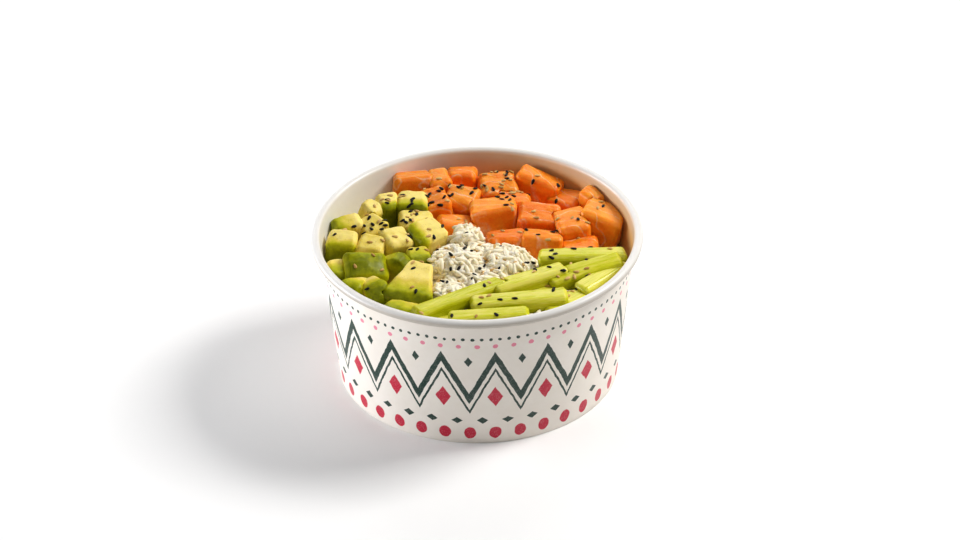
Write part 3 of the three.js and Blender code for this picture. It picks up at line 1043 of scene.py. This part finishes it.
# The heap's core, the grains stuck together over it, and the loose ones on top.
def makeRice(toppings, scatterTree, material):
    foot = bowl["baseTop"] + bowl["fit"]
    core = riceSolid("riceCore", insideRadius, -rice["sink"], rice["coreSteps"], foot)
    values = {"Depth": 1.4, "Size": 2.6, "Above": rice["bed"] - 2.0, "Material": material}
    addTree(core, makeCoreRelief(), values)
    bake(core)
    toppingTree = treeOf(toppings)
    random = randomFrom(23)
    stuck = riceBits(rice["sticky"], rice["stickyFrom"], toppingTree, random)
    loose = riceBits(rice["loose"], rice["bed"], toppingTree, random)
    sticky = scatter("stickyRice", stuck, rice["shapes"], scatterTree, material)
    soften(sticky, rice["voxel"], 1)
    bake(sticky)
    sticky.data.materials.clear()
    sticky.data.materials.append(material)
    print(f"sticky rice: {len(sticky.data.polygons)} faces")
    grains = scatter("looseRice", loose, rice["shapes"], scatterTree, material)
    for piece in (core, sticky, grains):
        place(piece, "rice", "rice")
    return core, sticky, grains


raySides = [(0, 0, 1), (0.5, 0, 1), (-0.5, 0, 1), (0, -1, 1), (0, 1, 1)]
rayReach = 0.05  # in metres


# Whether some ray from above or from the side reaches a spot.
def seenFromAbove(blockers, spot):
    for direction in raySides:
        if blockers.ray_cast(spot, Vector(direction).normalized(), rayReach)[0] is None:
            return True
    return False


def standsClear(blockers, spot):
    near, normal, _, distance = blockers.find_nearest(spot)
    if (spot - near).dot(normal) < 0:
        return False
    return distance > rice["clear"] * mm


sesame = {
    "size": (1.8, 2.7, 1.1),
    "shape": (0.45, 0.0, 0.9),  # taper, bend, bluntness
    "grow": (0.86, 0.28),  # smallest size of a seed, and how much more at most
    "steepest": 0.45,  # least upward share of a normal that holds a seed
    "lowest": 56,
    "dropFrom": 90,
    "bellShare": 0.95,  # part of the bell curve that a fall keeps, so that no seed strays far
    "level": 0.6,  # how much a seed evens out the slope under it
    "lift": 0.22,
    "tilts": (0.4, 0.5),
    "darkShares": (0.85, 0.36),  # of the first falls and the finer ones
    "blackSesame": ("11100e", "2c2926", 0.35),  # shade, light, roughness
    "paleSesame": ("a87e3a", "e8c586", 0.42),
}
# Where the seeds fell: [x, y, spread, count].
seedFalls = [
    [-32, 39, 6, 7],
    [-41, 17, 9, 10],
    [-23, 9, 8, 7],
    [-58, 15, 5, 4],
    [-40, -22, 12, 6],
    [6, -11, 10, 12],
    [-14, -28, 7, 7],
    [-12, 40, 9, 8],
    [10, 51, 7, 9],
    [19, 22, 10, 8],
    [48, 20, 12, 5],
    [37, -21, 8, 7],
    [57, -8, 6, 3],
    [-3, -46, 16, 6],
]
finerFalls = [
    [-34, 36, 8, 16],
    [-42, 14, 12, 22],
    [-24, 9, 8, 14],
    [-38, -18, 14, 8],
    [6, -12, 12, 20],
    [-12, -28, 9, 14],
    [-12, 44, 10, 18],
    [12, 52, 9, 22],
    [22, 26, 14, 22],
    [46, 26, 12, 8],
    [38, -22, 10, 18],
    [2, -46, 20, 14],
]


# Drops seeds from above on what they meet first.
def dropSeeds(falls, random, landing, darkShare):
    seeds = []
    for fallX, fallY, spread, count in falls:
        for _ in range(count):
            angle = next(random) * 2 * math.pi
            away = spread * math.sqrt(-2 * math.log(1 - sesame["bellShare"] * next(random)))
            heading = next(random) * math.pi
            x, y = fallX + away * math.cos(angle), fallY + away * math.sin(angle)
            hit, normal, _, _ = landing.ray_cast(Vector((x, y, sesame["dropFrom"])) * mm, -up)
            if hit is None or hit.z < sesame["lowest"] * mm or normal.z < sesame["steepest"]:
                continue
            seeds.append((hit, normal, heading))
    extra = randomFrom(31)
    smallest, more = sesame["grow"]
    tiltSide, tiltEnd = sesame["tilts"]
    bits = {"dark": [], "pale": []}
    for hit, normal, heading in seeds:
        lay = (normal + up * sesame["level"]).normalized()
        grow = smallest + more * next(extra)
        kind = "dark" if next(extra) < darkShare else "pale"
        seed = [side * grow * mm for side in sesame["size"]]
        turn = layOn(lay, heading, (next(extra) - 0.5) * tiltSide, (next(extra) - 0.5) * tiltEnd)
        spot = hit + lay * sesame["lift"] * mm
        bits[kind].append({"spot": spot, "turn": turn, "size": seed, "kind": 0, "tone": next(extra)})
    return bits


def makeSeeds(foods, scatterTree):
    landing = treeOf(foods)
    many, few = sesame["darkShares"]
    first = dropSeeds(seedFalls, randomFrom(11), landing, many)
    finer = dropSeeds(finerFalls, randomFrom(12), landing, few)
    for name, kind in (("blackSesame", "dark"), ("paleSesame", "pale")):
        material = makeSesameMaterial(name + "Hull", *sesame[name])
        seeds = scatter(name, first[kind] + finer[kind], {"seed": sesame["shape"]}, scatterTree, material)
        place(seeds, "rice", "rice")


# A cut piece's own place, its shift, and the place that its patterns read.
def ownPlace(tree):
    own = attribute(tree, "cut")["Vector"]
    shift = attribute(tree, "shift")["Fac"]
    return own, shift, vectorCalc(tree, "ADD", own, shift)


# A tone of each piece's own, from its shift.
def ownTone(tree, shift, spread):
    share = calc(tree, "FRACT", times(tree, shift, 0.0847))
    return times(tree, minus(tree, share, 0.5), spread)


salmonLook = {
    "deep": "f27e00",
    "pale": "ffa22e",
    "fat": "fcc8a4",
    "fatPitch": 5.0,  # between the pale lines
    "fatBend": 9.0,
    "fatLean": (0.3, 0.5, 0.4),
    "tones": 0.7,  # how much the pieces differ
}


def makeSalmon():
    material, tree, shader = newMaterial("salmonFlesh")
    _, shift, spot = ownPlace(tree)
    tilted = addNode(tree, "ShaderNodeMapping", {0: spot, "Rotation": salmonLook["fatLean"]}).outputs[0]
    bent = times(tree, noise(tree, spot, 0.09, 1.0), salmonLook["fatBend"])
    across = plus(tree, axesOf(tree, tilted)[1], bent)
    band = calc(tree, "FRACT", times(tree, across, 1 / salmonLook["fatPitch"]))
    line = fade(tree, absolute(tree, minus(tree, times(tree, band, 2.0), 1.0)), 0.16, 0.02)
    patchy = blotchy(tree, spot, 5.0, 0.4, 2.6)
    fat = times(tree, line, fade(tree, patchy, 0.25, 0.7, 0.15, 0.75))
    toned = plus(tree, patchy, ownTone(tree, shift, salmonLook["tones"]), clamp=True)
    flesh = mixColour(tree, toned, paint(salmonLook["deep"]), paint(salmonLook["pale"]))
    uneven = minus(tree, blotchy(tree, spot, 3.4, 0.3, 2.0), times(tree, line, 0.5))
    height = plus(tree, cutRelief(tree, spot, 0.9, 0.5), uneven)
    setSockets(tree, shader, {
        "Base Color": mixColour(tree, fat, flesh, paint(salmonLook["fat"])),
        "Roughness": fade(tree, patchy, 0.0, 1.0, 0.34, 0.5),
        "Normal": bump(tree, height, 0.5, 0.3),
        "Subsurface Weight": 0.6,
        "Subsurface Radius": (1.0, 0.45, 0.12),
        "Subsurface Scale": 3.4 * mm,
        "Specular IOR Level": 0.15,
        "Sheen Weight": 0.22,
        "Sheen Roughness": 0.25,
        "Sheen Tint": (1.0, 0.66, 0.6, 1.0),
        "Coat Weight": 0.6,
        "Coat Roughness": 0.38,
    })
    return material


avocadoLook = {
    # From the skin inwards: share of the way, colour.
    "flesh": [
        (0.0, "7e840a"),
        (0.15, "9ea208"),
        (0.35, "bebc1c"),
        (0.55, "d8ca48"),
        (0.72, "e9d266"),
        (0.9, "f5e186"),
    ],
    "bruise": "9c7a35",
    "uneven": 0.36,
    "tones": 0.16,
    "heart": 0.54,  # where a chunk without skin stands on that way
    "heartPaintedLight": 0.045,  # its rise with each millimetre of height
}


def makeAvocado():
    material, tree, shader = newMaterial("avocadoFlesh")
    _, shift, spot = ownPlace(tree)
    fromSkin = attribute(tree, "depth")["Fac"]
    patchy = blotchy(tree, spot, 5.0, 0.25, 2.4)
    cloudy = times(tree, minus(tree, patchy, 0.55), avocadoLook["uneven"])
    uneven = plus(tree, cloudy, ownTone(tree, shift, avocadoLook["tones"]))
    flesh = colourRamp(tree, plus(tree, fromSkin, uneven), avocadoLook["flesh"])
    bruise = fade(tree, blotchy(tree, spot, 2.6, 0.5, 3.0), 0.7, 1.0, 0.0, 0.35)
    setSockets(tree, shader, {
        "Base Color": mixColour(tree, bruise, flesh, paint(avocadoLook["bruise"])),
        "Roughness": fade(tree, patchy, 0.0, 1.0, 0.34, 0.5),
        "Normal": bump(tree, cutRelief(tree, spot, 1.1, 0.4), 0.3, 0.15),
        "Subsurface Weight": 0.3,
        "Subsurface Radius": (1.0, 0.85, 0.2),
        "Subsurface Scale": 1.4 * mm,
        "Specular IOR Level": 0.2,
    })
    return material


# How far each spot of an avocado piece lies from its skin side, as a share of its green.
def markDepth(piece, cut):
    own = np.zeros(len(piece.data.vertices) * 3, np.float32)
    piece.data.attributes["cut"].data.foreach_get("vector", own)
    own = own.reshape(-1, 3)
    half = [side / 2 for side in cut["size"]]
    if cut["green"]:
        bulge = cut["dome"] * (1 - 0.5 * ((own[:, 0] / half[0]) ** 2 + (own[:, 2] / half[2]) ** 2))
        depth = (own[:, 1] + half[1] + bulge) / cut["green"]
    else:
        # A chunk without skin is paler towards its top and greener lower down, as painted light and shade.
        depth = avocadoLook["heart"] + avocadoLook["heartPaintedLight"] * own[:, 2]
    layer = piece.data.attributes.new("depth", "FLOAT", "POINT")
    layer.data.foreach_set("value", depth.astype(np.float32))


cucumberLook = {
    # From the bottom up, paler towards the top as painted light: share of the way, colour.
    "flesh": [(0.0, "a0a400"), (0.35, "b8ba0c"), (0.65, "cac926"), (1.0, "e2da6a")],
    "streaks": 0.45,
    "tones": 0.2,
}


def makeCucumber():
    material, tree, shader = newMaterial("cucumberFlesh")
    own, shift, spot = ownPlace(tree)
    drawn = addNode(tree, "ShaderNodeMapping", {0: spot, "Scale": (0.12, 1, 1)}).outputs[0]
    streaks = blotchy(tree, drawn, 2.4, 0.4, 4.2)
    # Painted light: the upper side of each stick is paler.
    paintedTopLight = fade(tree, axesOf(tree, own)[2], -4.0, 4.0, 0.0, 0.55)
    tone = ownTone(tree, shift, cucumberLook["tones"])
    lengthwise = plus(tree, times(tree, streaks, cucumberLook["streaks"]), tone)
    setSockets(tree, shader, {
        "Base Color": colourRamp(tree, plus(tree, paintedTopLight, lengthwise), cucumberLook["flesh"]),
        "Roughness": fade(tree, streaks, 0.0, 1.0, 0.24, 0.38),
        "Normal": bump(tree, cutRelief(tree, drawn, 0.8, 0.4), 0.3, 0.12),
        "Subsurface Weight": 0.5,
        "Subsurface Radius": (0.8, 1.0, 0.2),
        "Subsurface Scale": 2.5 * mm,
        "Specular IOR Level": 0.3,
        "Coat Weight": 0.2,
        "Coat Roughness": 0.12,
    })
    return material


riceLook = {"shade": "f9eac6", "light": "fff7e6"}


def makeRiceMaterial():
    material, tree, shader = newMaterial("cookedRice")
    spot = objectPlace(tree)
    patchy = blotchy(tree, spot, 7.0, 0.45, 2.2)
    setSockets(tree, shader, {
        "Base Color": mixColour(tree, patchy, paint(riceLook["shade"]), paint(riceLook["light"])),
        "Roughness": fade(tree, patchy, 0.0, 1.0, 0.32, 0.44),
        "Normal": bump(tree, cutRelief(tree, spot, 0.7, 0.2), 0.2, 0.08),
        "Subsurface Weight": 0.35,
        "Subsurface Radius": (1.0, 0.86, 0.6),
        "Subsurface Scale": 1.2 * mm,
        "Specular IOR Level": 0.3,
    })
    return material


def makeSesameMaterial(name, shade, light, roughness):
    material, tree, shader = newMaterial(name)
    spot = objectPlace(tree)
    tone = attribute(tree, "tone")["Fac"]
    patchy = blotchy(tree, spot, 1.2, 0.4, 1.5)
    share = plus(tree, times(tree, tone, 0.65), times(tree, patchy, 0.35))
    setSockets(tree, shader, {
        "Base Color": mixColour(tree, share, paint(shade), paint(light)),
        "Roughness": fade(tree, patchy, 0.0, 1.0, roughness, roughness + 0.15),
        "Normal": bump(tree, cutRelief(tree, spot, 0.35, 0.5), 0.3, 0.05),
        "Specular IOR Level": 0.25,
    })
    return material


plainPaper = makePlainPaper()
makeWall(makePrintedPaper(), plainPaper)
makeBase(plainPaper)
print("bowl ready")

foodMaterials = {"salmon": makeSalmon(), "avocado": makeAvocado(), "cucumber": makeCucumber()}
toppings = makeToppings(foodMaterials)
scatterTree = makeScatter()
riceParts = makeRice(toppings, scatterTree, makeRiceMaterial())
makeSeeds([*riceParts, *toppings], scatterTree)
print("food ready")

view = {
    "elevation": 33.32,
    "distance": 1.8563,
    "aimHeight": 0.036,
    "roll": -0.0171,
    "focal": 4070.75,  # in picture points
    "pictureWide": 960,
    "aimSeenAt": (-2.0, -27.6),  # the aim's place right of and above the picture's middle, in points
    "sensor": 36,
    "clip": (0.05, 20),
}


def makeCamera():
    slope, roll, focal = math.radians(view["elevation"]), view["roll"], view["focal"]
    forward = Vector((0, math.cos(slope), -math.sin(slope)))
    right, above = Vector((1, 0, 0)), Vector((0, math.sin(slope), math.cos(slope)))
    leanRight = math.cos(roll) * right + math.sin(roll) * above
    above = math.cos(roll) * above - math.sin(roll) * right
    right = leanRight
    spot = Vector((0, 0, view["aimHeight"])) - forward * view["distance"]
    seenRight, seenAbove = view["aimSeenAt"]
    forward = (forward - right * seenRight / focal - above * seenAbove / focal).normalized()
    right = forward.cross(above).normalized()
    above = right.cross(forward)
    data = bpy.data.cameras.new("camera")
    data.sensor_width = view["sensor"]
    data.lens = focal * view["sensor"] / view["pictureWide"]
    data.clip_start, data.clip_end = view["clip"]
    camera = newObject("camera", data)
    turn = Matrix((right, above, -forward)).transposed()
    camera.matrix_world = Matrix.Translation(spot) @ turn.to_4x4()
    scene.camera = camera


lamps = [  # name, place, size, watts, colour
    ("keyLamp", (1.6, 0.5, 1.6), (0.8, 0.8), 38, "fffdfa"),
    ("topLamp", (0.1, 1.6, 1.35), (1.7, 0.9), 9, "ffffff"),
    ("leftLamp", (-1.7, 0.15, 0.26), (1.2, 0.4), 28, "f8faff"),
    ("frontLamp", (0.25, -0.6, 1.7), (1.0, 1.0), 3.5, "ffffff"),
]
studio = {
    "lampAim": (0, 0, 0.05),
    "glow": 0.155,
    "floorReach": 4,
    "floor": ("f8f8f8", "fcfcfc"),
    "transform": "Standard",
    "look": "Medium High Contrast",
}


def makeFloor():
    reach = studio["floorReach"]
    corners = [(x, y, 0) for x, y in ((-reach, -reach), (reach, -reach), (reach, reach), (-reach, reach))]
    mesh = bpy.data.meshes.new("floor")
    mesh.from_pydata(corners, [], [(0, 1, 2, 3)])
    material, tree, shader = newMaterial("paleFloor")
    soft = blotchy(tree, objectPlace(tree), 300.0, 0.2, 0.4)
    shade, light = studio["floor"]
    setSockets(tree, shader, {
        "Base Color": mixColour(tree, soft, paint(shade), paint(light)),
        "Roughness": 0.6,
        "Specular IOR Level": 0.2,
    })
    mesh.materials.append(material)
    floor = newObject("floor", mesh)


def makeStudio():
    for name, spot, (wide, high), watts, card in lamps:
        data = bpy.data.lights.new(name, "AREA")
        data.shape, data.size, data.size_y = "RECTANGLE", wide, high
        data.energy = watts
        data.color = paint(card)[:3]
        lamp = newObject(name, data)
        lamp.location = spot
        lamp.rotation_euler = (Vector(spot) - Vector(studio["lampAim"])).to_track_quat("Z", "Y").to_euler()
    world = bpy.data.worlds.new("studio")
    world.use_nodes = True
    glow = {"Color": (1, 1, 1, 1), "Strength": studio["glow"]}
    setSockets(world.node_tree, world.node_tree.nodes["Background"], glow)
    scene.world = world
    scene.view_settings.view_transform = studio["transform"]
    scene.view_settings.look = studio["look"]


makeCamera()
makeFloor()
makeStudio()
print("studio ready")
